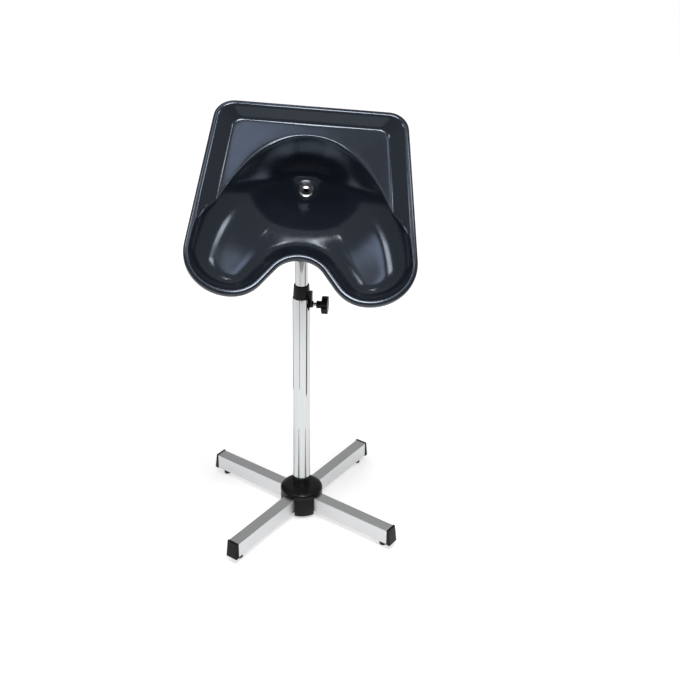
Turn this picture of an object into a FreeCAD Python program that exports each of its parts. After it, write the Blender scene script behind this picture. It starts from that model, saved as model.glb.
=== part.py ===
"""Freestanding shampoo basin on a four-legged stand.

Millimetres, +Z up. The origin is on the floor, on the axis of the stand's pole.
The bowl's neck notch faces -Y. The rest pose is the one in the reference picture:
bowl tipped forward and turned a little on its yoke, pole almost fully lowered.
"""
import FreeCAD
import Part

import math
import os

V = FreeCAD.Vector
UP = V(0, 0, 1)
ORIGIN = V(0, 0, 0)
TINY = 0.001

# Rest pose
BOWL_TIP = 38.0            # rim plane, front down from level, degrees
BOWL_TURN = -6.65          # bowl on its yoke, about the rim's normal, degrees
LEG_TURN = 4.7             # legs, past the diagonals, degrees
CLAMP_TURN = -12.0         # height knob, from +X, degrees

# Fits
RUNNING_FIT = 0.05         # radial, between pieces that turn or slide
SEAT_FIT = 0.15            # per side, between pieces that are fixed together

# Stand base
FOOT_HEIGHT = 14.0
FOOT_RADIUS = 8.0
FOOT_EDGE = 1.5
FOOT_STEM_RADIUS = 4.0
FOOT_INBOARD = 18.0        # foot centre, back from the leg's end
LEG_REACH = 252.0          # pole axis to the leg's cut end
LEG_WIDTH = 28.0
LEG_HEIGHT = 38.0
LEG_WALL = 1.6
LEG_CORNER = 2.0
END_CAP_TOP = 4.0          # how far the cap stands out at its top edge
END_CAP_BOTTOM = 10.0      # and at its bottom edge
END_CAP_OVERLAP = 1.2      # cap outside the leg's section
END_CAP_PLUG = 22.0
END_CAP_PLUG_WALL = 2.4
HUB_RADIUS = 33.0
HUB_CLEARANCE = 3.0        # hub above the floor
HUB_FLOOR = 8.0
HUB_SEAT_DEPTH = 1.0       # leg ends let into the hub's side
TONGUE_LENGTH = 46.0
TONGUE_WALL = 3.5
TONGUE_ROOT = 2.0          # tongue's root, out from the lower tube
LEG_SCREW_RADIUS = 2.5
LEG_SCREW_HEAD_RADIUS = 4.6
LEG_SCREW_HEAD = 3.0
LEG_SCREW_HEAD_EDGE = 1.2
LEG_SCREW_LENGTH = 14.0
LEG_SCREW_FROM_END = 26.0  # screw axis, out from the leg's inner end
CAP_RADIUS = 50.0
CAP_EDGE = 5.0
CAP_RISE = 15.0
CAP_CROWN_RADIUS = 25.0
CAP_WALL = 3.0
CAP_SHOULDER_OUT = 3.0     # dome's bulge, beyond the middle of its slope
CAP_SHOULDER_RISE = 0.75   # height of that bulge, as a share of the dome

# Pole
LOWER_TUBE_RADIUS = 20.0
LOWER_TUBE_WALL = 1.5
LOWER_TUBE_TOP = 562.0
UPPER_TUBE_RADIUS = 14.0
UPPER_TUBE_WALL = 1.2
UPPER_TUBE_LENGTH = 495.0
TUBE_PLUG_LENGTH = 24.0
POLE_BOLT_RADIUS = 4.0
POLE_BOLT_HEAD_RADIUS = 6.5
POLE_BOLT_HEAD = 5.0
POLE_WASHER_RADIUS = 12.0
POLE_WASHER_THICK = 1.6
POLE_BOLT_GRIP = 20.0      # thread inside the tube plug
GLIDE_HEIGHT = 32.0
GLIDE_FLOOR = 4.0
GLIDE_PLUG_WALL = 3.0

# Collar and height clamp
COLLAR_HEIGHT = 31.0
COLLAR_SPIGOT = 48.0       # below the lower tube's rim, inside it
COLLAR_BASE_RADIUS = 18.8
COLLAR_TOP_RADIUS = 17.0
COLLAR_EDGE = 1.2
LUG_WIDTH = 16.0
LUG_THICK = 3.4
LUG_GAP = 0.3              # lug off the lower tube
LUG_RISE = 13.0            # lug above the lower tube's rim
CLAMP_DROP = 16.0          # clamp axis below the lower tube's rim
CLAMP_BOSS_RADIUS = 7.5
CLAMP_BOSS_LENGTH = 2.6
STUD_RADIUS = 4.0
STUD_HOLE_GAP = 0.6        # stud off the lower tube and the collar's spigot
STUD_TIP_GAP = 0.1         # stud tip off the upper tube
INSERT_WALL = 1.6
KNOB_START = 33.5          # knob's hub, from the pole axis
KNOB_HUB_RADIUS = 8.6
KNOB_HUB_LENGTH = 11.5
KNOB_HEAD_RADIUS = 20.0
KNOB_HEAD_LENGTH = 14.0
KNOB_LOBES = 7
KNOB_SCALLOP_RADIUS = 5.0
KNOB_SCALLOP_OUT = 0.45    # scallop's centre outside the head, in scallop radii
KNOB_HUB_TAPER = 0.92      # hub at the head, as a share of its foot
KNOB_EDGE = 3.0
KNOB_BORE_DEPTH = 20.0

# Tilt head and yoke
PIVOT_HEIGHT = 683.0
HEAD_PLUG_LENGTH = 30.0
HEAD_FLANGE_RADIUS = 16.5
HEAD_FLANGE_THICK = 8.0
HEAD_DROP = 30.0           # pivot down to the upper tube's rim
LUG_HALF_WIDTH = 8.0       # tilt lug, along the pivot
TILT_LUG_RADIUS = 12.0
CROSS_PIN_RADIUS = 2.5
CROSS_PIN_DROP = 15.0      # below the upper tube's rim
PIVOT_RADIUS = 4.0
THRUST_WASHER_THICK = 1.0
THRUST_WASHER_RADIUS = 10.0
YOKE_THICK = 3.0
YOKE_EAR_RADIUS = 13.0
YOKE_PLATE_RADIUS = 31.0
PIVOT_HEAD_RADIUS = 7.0
PIVOT_HEAD_LENGTH = 5.3
TILT_KNOB_HEAD_RADIUS = 15.0
TILT_KNOB_HEAD_LENGTH = 12.0
TILT_KNOB_HUB_LENGTH = 9.0
TILT_KNOB_SCALLOP_RADIUS = 4.0
SWIVEL_BOLT_RADIUS = 4.0
SWIVEL_HEAD_RADIUS = 7.0
SWIVEL_HEAD_LENGTH = 5.3
SWIVEL_WASHER_RADIUS = 8.6
SWIVEL_WASHER_THICK = 1.6
SWIVEL_GAP = 0.05          # plate off the friction disc and the washer
FRICTION_DISC_RADIUS = 28.0
FRICTION_DISC_THICK = 1.5
BOWL_INSERT_RADIUS = 7.0
BOWL_INSERT_LENGTH = 14.0

# Bowl, in its own frame: u to the right, v to the rear, depth below the rim plane.
# The point u = v = 0 is on the swivel bolt's axis.
RIM_ABOVE_PIVOT = 120.0
BOWL_WALL = 4.0
CREST_HALF_WIDTH = 231.0   # rim crest, at the front lobes
CREST_REAR = 276.0
CREST_LOBE = -180.0        # rim crest, lowest point of the lobes
CREST_NOTCH = -87.5        # rim crest, middle of the neck notch
SIDE_FLARE = 4.7           # sides, degrees off straight
REAR_CORNER_RADIUS = 38.0
LOBE_OUTER_RADIUS = 94.0
LOBE_INNER_RADIUS = 70.0
NOTCH_SLOPE = 54.0         # straight flank between lobe and notch, degrees
LIP_OUT = 7.0              # lip outside the crest
LIP_DROP = 14.0
LIP_WALL = 3.0
LIP_OUTER_ROUND = 5.0
TRAY_INSET = 4.5           # tray wall at the rim, inside the crest
TRAY_DEPTH = 25.0
DECK_SIDE_INSET = 34.0     # deck's edge inside the crest, at the sides
DECK_REAR = 252.0
DECK_CORNER_RADIUS = 25.0
TRAY_FRONT = 10.0          # ahead of this the basin alone forms the wall
BASIN_INSET = 3.0          # basin wall at the rim, inside the crest
BASIN_DEPTH = 150.0
BASIN_REAR = 222.0         # rear of the basin's mouth
BASIN_REAR_CURVE = 0.0043  # 1/mm, the mouth's rear is a parabola
BASIN_REAR_HALF_WIDTH = 186.8    # where the parabola meets the sides
BASIN_WALL_RUN = 62.0      # from the mouth in to the foot of the curved wall
BASIN_REAR_RUN = 32.0      # the same at the rear middle, where the wall is steepest
BASIN_WALL_START = 35.0    # where on its ellipse the wall leaves the rim, degrees; 0 is upright
FLOOR_RISE = 108.0         # floor far from the drain, above the drain
FLOOR_SPREAD = 105.0       # how far from the drain the floor stays low
FLOOR_POWER = 1.5          # higher: flatter around the drain
# depths of the level sections that the basin is drawn through, closer where it curves most
BASIN_SECTIONS = (3, 8, 15, 24, 33, 40, 44, 48, 52, 57, 64, 74, 86, 99, 112, 124, 134, 142, 148)
ABOVE_RIM = 1.0            # cutting shapes stand this far above the rim plane
DRAIN_V = 159.0
DRAIN_PAD_DEPTH = 151.0
DRAIN_PAD_RADIUS = 22.0
DRAIN_PAD_THICK = 5.0
BOSS_DEPTH = 95.0
BOSS_RADIUS = 40.0
BOSS_CORE_RADIUS = 11.0
BOSS_RIBS = 8
BOSS_ROOT_DEPTH = 40.0

# Drain fitting
DRAIN_FLANGE_RADIUS = 17.0
DRAIN_FLANGE_THICK = 2.5
DRAIN_FLANGE_SLOPE = 2.0   # width of the flange's sloped edge
DRAIN_BODY_RADIUS = 11.0
DRAIN_BODY_LENGTH = 24.0
DRAIN_BORE_RADIUS = 5.0
DRAIN_SPIGOT_RADIUS = 9.5
DRAIN_SPIGOT_LENGTH = 26.0
DRAIN_BARBS = 3
DRAIN_BARB_STEP = 0.8
DRAIN_BARB_NECK = 0.4      # plain share of each barb
GASKET_RADIUS = 17.0
GASKET_THICK = 2.0
DRAIN_NUT_RADIUS = 19.0
DRAIN_NUT_THICK = 9.0

# Heights and radii that follow
LEG_BOTTOM = FOOT_HEIGHT
LEG_TOP = LEG_BOTTOM + LEG_HEIGHT
LEG_MIDDLE = LEG_BOTTOM + LEG_HEIGHT / 2
LEG_START = math.sqrt(HUB_RADIUS ** 2 - (LEG_WIDTH / 2) ** 2) - HUB_SEAT_DEPTH
LEG_SCREW_X = LEG_START + LEG_SCREW_FROM_END
FOOT_X = LEG_REACH - FOOT_INBOARD
TUBE_FLOOR = HUB_CLEARANCE + HUB_FLOOR
LOWER_TUBE_BORE = LOWER_TUBE_RADIUS - LOWER_TUBE_WALL
UPPER_TUBE_BORE = UPPER_TUBE_RADIUS - UPPER_TUBE_WALL
UPPER_TUBE_TOP = PIVOT_HEIGHT - HEAD_DROP
UPPER_TUBE_FOOT = UPPER_TUBE_TOP - UPPER_TUBE_LENGTH
CLAMP_HEIGHT = LOWER_TUBE_TOP - CLAMP_DROP
LUG_INNER = LOWER_TUBE_RADIUS + LUG_GAP
LUG_OUTER = LUG_INNER + LUG_THICK
EAR_INNER = LUG_HALF_WIDTH + THRUST_WASHER_THICK
EAR_OUTER = EAR_INNER + YOKE_THICK
BOSS_FACE = RIM_ABOVE_PIVOT - BOSS_DEPTH
PLATE_TOP = BOSS_FACE - FRICTION_DISC_THICK - SWIVEL_GAP
PLATE_BOTTOM = PLATE_TOP - YOKE_THICK

# Places
TILTED = FreeCAD.Placement(V(0, 0, PIVOT_HEIGHT), FreeCAD.Rotation(V(1, 0, 0), BOWL_TIP))
TURNED = TILTED.multiply(FreeCAD.Placement(ORIGIN, FreeCAD.Rotation(UP, BOWL_TURN)))
CLAMP_PLACE = FreeCAD.Placement(ORIGIN, FreeCAD.Rotation(UP, CLAMP_TURN))
LEG_NAMES = ("rear_right", "rear_left", "front_left", "front_right")


def cylinder(radius, bottom, top, u=0.0, v=0.0):
    """Upright cylinder between two heights."""
    return Part.makeCylinder(radius, top - bottom, V(u, v, bottom), UP)


def ring(outer, inner, bottom, top):
    """Upright ring between two heights."""
    return cylinder(outer, bottom, top).cut(cylinder(inner, bottom, top))


def bar(radius, start, end, height=0.0):
    """Cylinder along +X."""
    return Part.makeCylinder(radius, end - start, V(start, 0, height), V(1, 0, 0))


def block(x0, x1, y0, y1, z0, z1):
    """Box between two corners."""
    return Part.makeBox(x1 - x0, y1 - y0, z1 - z0, V(x0, y0, z0))


def turned_profile(points):
    """Solid of revolution about Z from (radius, height) points."""
    corners = [V(r, 0, z) for r, z in points]
    face = Part.Face(Part.makePolygon(corners + corners[:1]))
    return face.revolve(ORIGIN, UP, 360)


def hexagon(radius, bottom, top):
    """Hexagonal prism with the given corner radius."""
    corners = [V(radius * math.cos(math.radians(a)), radius * math.sin(math.radians(a)), bottom)
               for a in range(0, 361, 60)]
    return Part.Face(Part.makePolygon(corners)).extrude(V(0, 0, top - bottom))


def across(shape):
    """Turn a shape built along +Z so that it lies along +X."""
    shape = shape.copy()
    shape.rotate(ORIGIN, V(0, 1, 0), 90)
    return shape


def placed(shape, placement):
    """Copy of a shape moved by a placement."""
    shape = shape.copy()
    shape.Placement = placement.multiply(shape.Placement)
    return shape


def leg_section(width, height, corner, start, end):
    """Rounded box section along +X, centred on the leg's height."""
    body = block(start, end, -width / 2, width / 2, LEG_MIDDLE - height / 2, LEG_MIDDLE + height / 2)
    if corner <= 0:
        return body
    long_edges = [e for e in body.Edges if abs(e.tangentAt(e.FirstParameter).x) > 0.9]
    return body.makeFillet(corner, long_edges)


def leg_tube():
    """Aluminium box-section leg with a screw hole and a foot hole in its lower wall."""
    outer = leg_section(LEG_WIDTH, LEG_HEIGHT, LEG_CORNER, LEG_START, LEG_REACH)
    bore_width = LEG_WIDTH - 2 * LEG_WALL
    bore_height = LEG_HEIGHT - 2 * LEG_WALL
    tube = outer.cut(leg_section(bore_width, bore_height, 0, LEG_START, LEG_REACH))
    lower_wall = LEG_BOTTOM + LEG_WALL
    screw_hole = cylinder(LEG_SCREW_RADIUS + SEAT_FIT, LEG_BOTTOM, lower_wall, LEG_SCREW_X)
    foot_hole = cylinder(FOOT_STEM_RADIUS + SEAT_FIT, LEG_BOTTOM, lower_wall, FOOT_X)
    return tube.cut(screw_hole).cut(foot_hole)


def end_cap():
    """Wedge-faced plastic cap with a hollow plug inside the leg."""
    half = LEG_WIDTH / 2 + END_CAP_OVERLAP
    bottom = LEG_BOTTOM - END_CAP_OVERLAP
    top = LEG_TOP + END_CAP_OVERLAP
    side = [V(LEG_REACH, -half, bottom), V(LEG_REACH + END_CAP_BOTTOM, -half, bottom),
            V(LEG_REACH + END_CAP_TOP, -half, top), V(LEG_REACH, -half, top)]
    head = Part.Face(Part.makePolygon(side + side[:1])).extrude(V(0, 2 * half, 0))
    outer_edges = [e for e in head.Edges if e.BoundBox.XMax > LEG_REACH + END_CAP_TOP / 2]
    head = head.makeFillet(LEG_CORNER, outer_edges)
    plug_width = LEG_WIDTH - 2 * LEG_WALL - 2 * SEAT_FIT
    plug_height = LEG_HEIGHT - 2 * LEG_WALL - 2 * SEAT_FIT
    plug_start = LEG_REACH - END_CAP_PLUG
    plug = leg_section(plug_width, plug_height, 0, plug_start, LEG_REACH)
    hollow = leg_section(plug_width - 2 * END_CAP_PLUG_WALL, plug_height - 2 * END_CAP_PLUG_WALL, 0,
                         plug_start, LEG_REACH)
    stem_room = cylinder(FOOT_STEM_RADIUS + SEAT_FIT, LEG_BOTTOM, LEG_MIDDLE, FOOT_X)
    return head.fuse(plug.cut(hollow)).cut(stem_room).removeSplitter()


def foot():
    """Rubber foot pad with a stem pressed through the leg's lower wall."""
    pad = cylinder(FOOT_RADIUS, 0, FOOT_HEIGHT, FOOT_X)
    pad = pad.makeFillet(FOOT_EDGE, [e for e in pad.Edges if e.BoundBox.ZMax < FOOT_EDGE])
    stem_top = LEG_BOTTOM + LEG_WALL + END_CAP_PLUG_WALL
    stem = cylinder(FOOT_STEM_RADIUS, FOOT_HEIGHT, stem_top, FOOT_X)
    return pad.fuse(stem).removeSplitter()


def leg_screw():
    """Pan-head screw up through the leg into the hub's tongue."""
    head_bottom = LEG_BOTTOM - LEG_SCREW_HEAD
    head = cylinder(LEG_SCREW_HEAD_RADIUS, head_bottom, LEG_BOTTOM, LEG_SCREW_X)
    lower_edge = [e for e in head.Edges if e.BoundBox.ZMax < head_bottom + TINY]
    head = head.makeFillet(LEG_SCREW_HEAD_EDGE, lower_edge)
    shank = cylinder(LEG_SCREW_RADIUS, LEG_BOTTOM, LEG_BOTTOM + LEG_SCREW_LENGTH, LEG_SCREW_X)
    return head.fuse(shank).removeSplitter()


def around_the_hub(shape):
    """Four copies of a leg piece, each at its own corner."""
    copies = []
    for index in range(len(LEG_NAMES)):
        turn = FreeCAD.Rotation(UP, 45 + LEG_TURN + 360 * index / len(LEG_NAMES))
        copies.append(placed(shape, FreeCAD.Placement(ORIGIN, turn)))
    return copies


def hub_core():
    """Moulded hub: a socket for the pole, and four hollow tongues for the legs."""
    core = cylinder(HUB_RADIUS, HUB_CLEARANCE, LEG_TOP)
    width = LEG_WIDTH - 2 * LEG_WALL - 2 * SEAT_FIT
    height = LEG_HEIGHT - 2 * LEG_WALL - 2 * SEAT_FIT
    reach = LEG_START + TONGUE_LENGTH
    tongue = leg_section(width, height, 0, LOWER_TUBE_RADIUS + TONGUE_ROOT, reach)
    end_pocket = leg_section(width - 2 * TONGUE_WALL, height - 2 * TONGUE_WALL, 0, LEG_START, reach)
    post_radius = LEG_SCREW_RADIUS + TONGUE_WALL
    screw_post = cylinder(post_radius, LEG_MIDDLE - height / 2, LEG_MIDDLE + height / 2, LEG_SCREW_X)
    screw_hole = cylinder(LEG_SCREW_RADIUS, LEG_BOTTOM, LEG_BOTTOM + LEG_SCREW_LENGTH, LEG_SCREW_X)
    tongue = tongue.cut(end_pocket).fuse(screw_post).cut(screw_hole)
    leg_seat = leg_section(LEG_WIDTH, LEG_HEIGHT, 0, LEG_START, LEG_REACH)
    for seat in around_the_hub(leg_seat):
        core = core.cut(seat)
    for arm in around_the_hub(tongue):
        core = core.fuse(arm)
    socket = cylinder(LOWER_TUBE_RADIUS + SEAT_FIT, TUBE_FLOOR, LEG_TOP)
    bolt_hole = cylinder(POLE_BOLT_RADIUS + SEAT_FIT, HUB_CLEARANCE, TUBE_FLOOR)
    head_pocket = cylinder(POLE_WASHER_RADIUS + SEAT_FIT, HUB_CLEARANCE, TUBE_FLOOR - HUB_FLOOR / 2)
    return core.cut(socket).cut(bolt_hole).cut(head_pocket).removeSplitter()


def hub_cap():
    """Domed cover that slides down the lower tube onto the hub and the legs."""
    inner = LOWER_TUBE_RADIUS + SEAT_FIT
    edge_top = LEG_TOP + CAP_EDGE
    crown_top = LEG_TOP + CAP_RISE
    under = LEG_TOP + CAP_WALL
    skirt = CAP_RADIUS - CAP_WALL
    shoulder = V((CAP_RADIUS + CAP_CROWN_RADIUS) / 2 + CAP_SHOULDER_OUT, 0,
                 edge_top + CAP_SHOULDER_RISE * (crown_top - edge_top))
    rim = [V(inner, 0, crown_top), V(inner, 0, LEG_TOP), V(HUB_RADIUS, 0, LEG_TOP),
           V(HUB_RADIUS, 0, under), V(skirt, 0, under),
           V(skirt, 0, LEG_TOP), V(CAP_RADIUS, 0, LEG_TOP), V(CAP_RADIUS, 0, edge_top)]
    dome = Part.Arc(rim[-1], shoulder, V(CAP_CROWN_RADIUS, 0, crown_top)).toShape()
    top = Part.makeLine(V(CAP_CROWN_RADIUS, 0, crown_top), rim[0])
    outline = Part.Wire([*Part.makePolygon(rim).Edges, dome, top])
    return Part.Face(outline).revolve(ORIGIN, UP, 360)


def pole_pieces():
    """Lower tube, the threaded plug in its foot, and the bolt and washer from below."""
    tube = ring(LOWER_TUBE_RADIUS, LOWER_TUBE_BORE, TUBE_FLOOR, LOWER_TUBE_TOP)
    clamp_hole = placed(bar(STUD_RADIUS + STUD_HOLE_GAP, 0, LUG_OUTER, CLAMP_HEIGHT), CLAMP_PLACE)
    plug_top = TUBE_FLOOR + TUBE_PLUG_LENGTH
    bolt_top = TUBE_FLOOR + POLE_BOLT_GRIP
    pocket_top = TUBE_FLOOR - HUB_FLOOR / 2
    washer_bottom = pocket_top - POLE_WASHER_THICK
    plug = cylinder(LOWER_TUBE_BORE - RUNNING_FIT, TUBE_FLOOR, plug_top)
    plug = plug.cut(cylinder(POLE_BOLT_RADIUS, TUBE_FLOOR, bolt_top))
    washer = ring(POLE_WASHER_RADIUS, POLE_BOLT_RADIUS + SEAT_FIT, washer_bottom, pocket_top)
    head = hexagon(POLE_BOLT_HEAD_RADIUS, washer_bottom - POLE_BOLT_HEAD, washer_bottom)
    bolt = head.fuse(cylinder(POLE_BOLT_RADIUS, washer_bottom, bolt_top)).removeSplitter()
    return {"lower_tube": tube.cut(clamp_hole), "lower_tube_plug": plug,
            "pole_washer": washer, "pole_bolt": bolt}


def collar():
    """Moulded guide collar: spigot in the lower tube, tapered head, and the clamp's lug."""
    bore = UPPER_TUBE_RADIUS + RUNNING_FIT
    head_top = LOWER_TUBE_TOP + COLLAR_HEIGHT
    spigot_bottom = LOWER_TUBE_TOP - COLLAR_SPIGOT
    body = turned_profile([
        (bore, spigot_bottom), (LOWER_TUBE_BORE - RUNNING_FIT, spigot_bottom),
        (LOWER_TUBE_BORE - RUNNING_FIT, LOWER_TUBE_TOP), (COLLAR_BASE_RADIUS, LOWER_TUBE_TOP),
        (COLLAR_TOP_RADIUS, head_top - COLLAR_EDGE), (COLLAR_TOP_RADIUS - COLLAR_EDGE, head_top),
        (bore, head_top)])
    lug_top = LOWER_TUBE_TOP + LUG_RISE
    lug = block(LUG_INNER, LUG_OUTER, -LUG_WIDTH / 2, LUG_WIDTH / 2, CLAMP_HEIGHT, lug_top)
    lug = lug.fuse(bar(LUG_WIDTH / 2, LUG_INNER, LUG_OUTER, CLAMP_HEIGHT))
    bridge = block(UPPER_TUBE_RADIUS + COLLAR_EDGE, LUG_OUTER, -LUG_WIDTH / 2, LUG_WIDTH / 2,
                   LOWER_TUBE_TOP + LUG_GAP, lug_top)
    boss = bar(CLAMP_BOSS_RADIUS, LUG_OUTER, LUG_OUTER + CLAMP_BOSS_LENGTH, CLAMP_HEIGHT)
    insert_room = bar(STUD_RADIUS + INSERT_WALL, LUG_INNER, LUG_OUTER + CLAMP_BOSS_LENGTH, CLAMP_HEIGHT)
    stud_room = bar(STUD_RADIUS + STUD_HOLE_GAP, 0, LUG_INNER, CLAMP_HEIGHT)
    clamp = lug.fuse(bridge).fuse(boss).cut(insert_room)
    body = body.fuse(placed(clamp, CLAMP_PLACE)).cut(placed(stud_room, CLAMP_PLACE))
    return body.cut(cylinder(bore, spigot_bottom, head_top)).removeSplitter()


def clamp_insert():
    """Threaded brass insert in the collar's lug."""
    end = LUG_OUTER + CLAMP_BOSS_LENGTH
    outer = bar(STUD_RADIUS + INSERT_WALL, LUG_INNER, end, CLAMP_HEIGHT)
    return placed(outer.cut(bar(STUD_RADIUS + RUNNING_FIT, LUG_INNER, end, CLAMP_HEIGHT)), CLAMP_PLACE)


def scalloped_knob(hub_length, head_radius, head_length, scallop_radius, bore_radius, bore_depth):
    """Hand knob standing on the XY plane: round hub, scalloped head, blind bore from below."""
    knob_top = hub_length + head_length
    head = cylinder(head_radius, hub_length, knob_top)
    for lobe in range(KNOB_LOBES):
        angle = 2 * math.pi * lobe / KNOB_LOBES
        reach = head_radius + KNOB_SCALLOP_OUT * scallop_radius
        head = head.cut(cylinder(scallop_radius, hub_length, knob_top,
                                 reach * math.cos(angle), reach * math.sin(angle)))
    flat_edges = [e for e in head.Edges if e.BoundBox.ZLength < TINY]
    head = head.makeFillet(KNOB_EDGE, flat_edges)
    neck_radius = KNOB_HUB_RADIUS * KNOB_HUB_TAPER
    neck = Part.makeCone(KNOB_HUB_RADIUS, neck_radius, hub_length, ORIGIN, UP)
    knob = neck.fuse(cylinder(neck_radius, hub_length, hub_length + KNOB_EDGE)).fuse(head)
    return knob.cut(cylinder(bore_radius, 0, bore_depth)).removeSplitter()


def height_clamp():
    """Hand knob and the stud that bears on the upper tube."""
    knob = across(scalloped_knob(KNOB_HUB_LENGTH, KNOB_HEAD_RADIUS, KNOB_HEAD_LENGTH,
                                 KNOB_SCALLOP_RADIUS, STUD_RADIUS, KNOB_BORE_DEPTH))
    knob.translate(V(KNOB_START, 0, CLAMP_HEIGHT))
    stud = bar(STUD_RADIUS, UPPER_TUBE_RADIUS + STUD_TIP_GAP, KNOB_START + KNOB_BORE_DEPTH, CLAMP_HEIGHT)
    return {"clamp_knob": placed(knob, CLAMP_PLACE), "clamp_stud": placed(stud, CLAMP_PLACE)}


def upper_tube():
    """Upper tube with the cross pin's hole near its top."""
    tube = ring(UPPER_TUBE_RADIUS, UPPER_TUBE_BORE, UPPER_TUBE_FOOT, UPPER_TUBE_TOP)
    return tube.cut(cross_pin(CROSS_PIN_RADIUS, UPPER_TUBE_RADIUS))


def cross_pin(radius, half_length):
    """Pin across the upper tube, front to back."""
    height = UPPER_TUBE_TOP - CROSS_PIN_DROP
    return Part.makeCylinder(radius, 2 * half_length, V(0, -half_length, height), V(0, 1, 0))


def glide_bush():
    """Plastic bush on the upper tube's foot, which guides it in the lower tube."""
    floor_bottom = UPPER_TUBE_FOOT - GLIDE_FLOOR
    outer = LOWER_TUBE_BORE - RUNNING_FIT
    sleeve_bore = UPPER_TUBE_RADIUS + RUNNING_FIT
    plug = UPPER_TUBE_BORE - RUNNING_FIT
    top = floor_bottom + GLIDE_HEIGHT
    seat = UPPER_TUBE_FOOT - RUNNING_FIT
    return turned_profile([
        (plug - GLIDE_PLUG_WALL, floor_bottom), (outer, floor_bottom), (outer, top), (sleeve_bore, top),
        (sleeve_bore, seat), (plug, seat), (plug, top), (plug - GLIDE_PLUG_WALL, top)])


def tilt_head():
    """Cast head: plug in the upper tube, flange on its rim, rounded lug for the pivot."""
    plug = cylinder(UPPER_TUBE_BORE - RUNNING_FIT, UPPER_TUBE_TOP - HEAD_PLUG_LENGTH, UPPER_TUBE_TOP)
    plug = plug.cut(cross_pin(CROSS_PIN_RADIUS, UPPER_TUBE_RADIUS))
    flange_top = UPPER_TUBE_TOP + HEAD_FLANGE_THICK
    on_rim = V(0, 0, UPPER_TUBE_TOP)
    flange = Part.makeCone(HEAD_FLANGE_RADIUS, TILT_LUG_RADIUS, HEAD_FLANGE_THICK, on_rim, UP)
    stem = block(-LUG_HALF_WIDTH, LUG_HALF_WIDTH, -TILT_LUG_RADIUS, TILT_LUG_RADIUS,
                 flange_top, PIVOT_HEIGHT)
    stem = stem.common(cylinder(HEAD_FLANGE_RADIUS, flange_top, PIVOT_HEIGHT))
    eye = bar(TILT_LUG_RADIUS, -LUG_HALF_WIDTH, LUG_HALF_WIDTH, PIVOT_HEIGHT)
    pivot_hole = bar(PIVOT_RADIUS + RUNNING_FIT, -LUG_HALF_WIDTH, LUG_HALF_WIDTH, PIVOT_HEIGHT)
    return plug.fuse(flange).fuse(stem).fuse(eye).cut(pivot_hole).removeSplitter()


def yoke():
    """Folded steel yoke: round plate under the bowl and two ears on the pivot."""
    plate = cylinder(YOKE_PLATE_RADIUS, PLATE_BOTTOM, PLATE_TOP)
    plate = plate.cut(cylinder(SWIVEL_BOLT_RADIUS + RUNNING_FIT, PLATE_BOTTOM, PLATE_TOP))
    shape = plate
    for inner, outer in ((EAR_INNER, EAR_OUTER), (-EAR_OUTER, -EAR_INNER)):
        ear = block(inner, outer, -YOKE_EAR_RADIUS, YOKE_EAR_RADIUS, 0, PLATE_BOTTOM)
        ear = ear.fuse(bar(YOKE_EAR_RADIUS, inner, outer))
        shape = shape.fuse(ear.cut(bar(PIVOT_RADIUS, inner, outer)))
    return placed(shape.removeSplitter(), TILTED)


def tilt_pieces():
    """Pivot bolt, thrust washers and the tilt knob, all on the yoke's pivot."""
    head = across(hexagon(PIVOT_HEAD_RADIUS, -EAR_OUTER - PIVOT_HEAD_LENGTH, -EAR_OUTER))
    knob_start = EAR_OUTER
    bolt_end = knob_start + TILT_KNOB_HUB_LENGTH + TILT_KNOB_HEAD_LENGTH / 2
    bolt = head.fuse(bar(PIVOT_RADIUS, -EAR_OUTER, bolt_end)).removeSplitter()
    washers = []
    for start in (-EAR_INNER, LUG_HALF_WIDTH):
        end = start + THRUST_WASHER_THICK
        disc = bar(THRUST_WASHER_RADIUS, start, end).cut(bar(PIVOT_RADIUS, start, end))
        washers.append(placed(disc, TILTED))
    knob = across(scalloped_knob(TILT_KNOB_HUB_LENGTH, TILT_KNOB_HEAD_RADIUS, TILT_KNOB_HEAD_LENGTH,
                                 TILT_KNOB_SCALLOP_RADIUS, PIVOT_RADIUS + RUNNING_FIT,
                                 bolt_end - knob_start))
    knob.translate(V(knob_start, 0, 0))
    return {"pivot_bolt": placed(bolt, TILTED), "thrust_washers": Part.makeCompound(washers),
            "tilt_knob": placed(knob, TILTED)}


def swivel_pieces():
    """Bolt, washer, friction disc and threaded insert that hold the bowl on the yoke."""
    washer_top = PLATE_BOTTOM - SWIVEL_GAP
    head_top = washer_top - SWIVEL_WASHER_THICK
    bolt_top = BOSS_FACE + BOWL_INSERT_LENGTH
    head = hexagon(SWIVEL_HEAD_RADIUS, head_top - SWIVEL_HEAD_LENGTH, head_top)
    bolt = head.fuse(cylinder(SWIVEL_BOLT_RADIUS, head_top, bolt_top)).removeSplitter()
    washer = ring(SWIVEL_WASHER_RADIUS, SWIVEL_BOLT_RADIUS, head_top, washer_top)
    disc_bottom = BOSS_FACE - FRICTION_DISC_THICK
    disc = ring(FRICTION_DISC_RADIUS, SWIVEL_BOLT_RADIUS + SEAT_FIT, disc_bottom, BOSS_FACE)
    insert = ring(BOWL_INSERT_RADIUS, SWIVEL_BOLT_RADIUS, BOSS_FACE, bolt_top)
    pieces = {"swivel_bolt": bolt, "swivel_washer": washer, "friction_disc": disc, "bowl_insert": insert}
    return {name: placed(shape, TURNED) for name, shape in pieces.items()}


def depth_plane(depth):
    """Height above the pivot of a plane at some depth below the rim."""
    return RIM_ABOVE_PIVOT - depth


def on_arc(centre, radius, angle):
    """Point of a circle in plan, angle in degrees from +u."""
    return (centre[0] + radius * math.cos(math.radians(angle)),
            centre[1] + radius * math.sin(math.radians(angle)))


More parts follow.
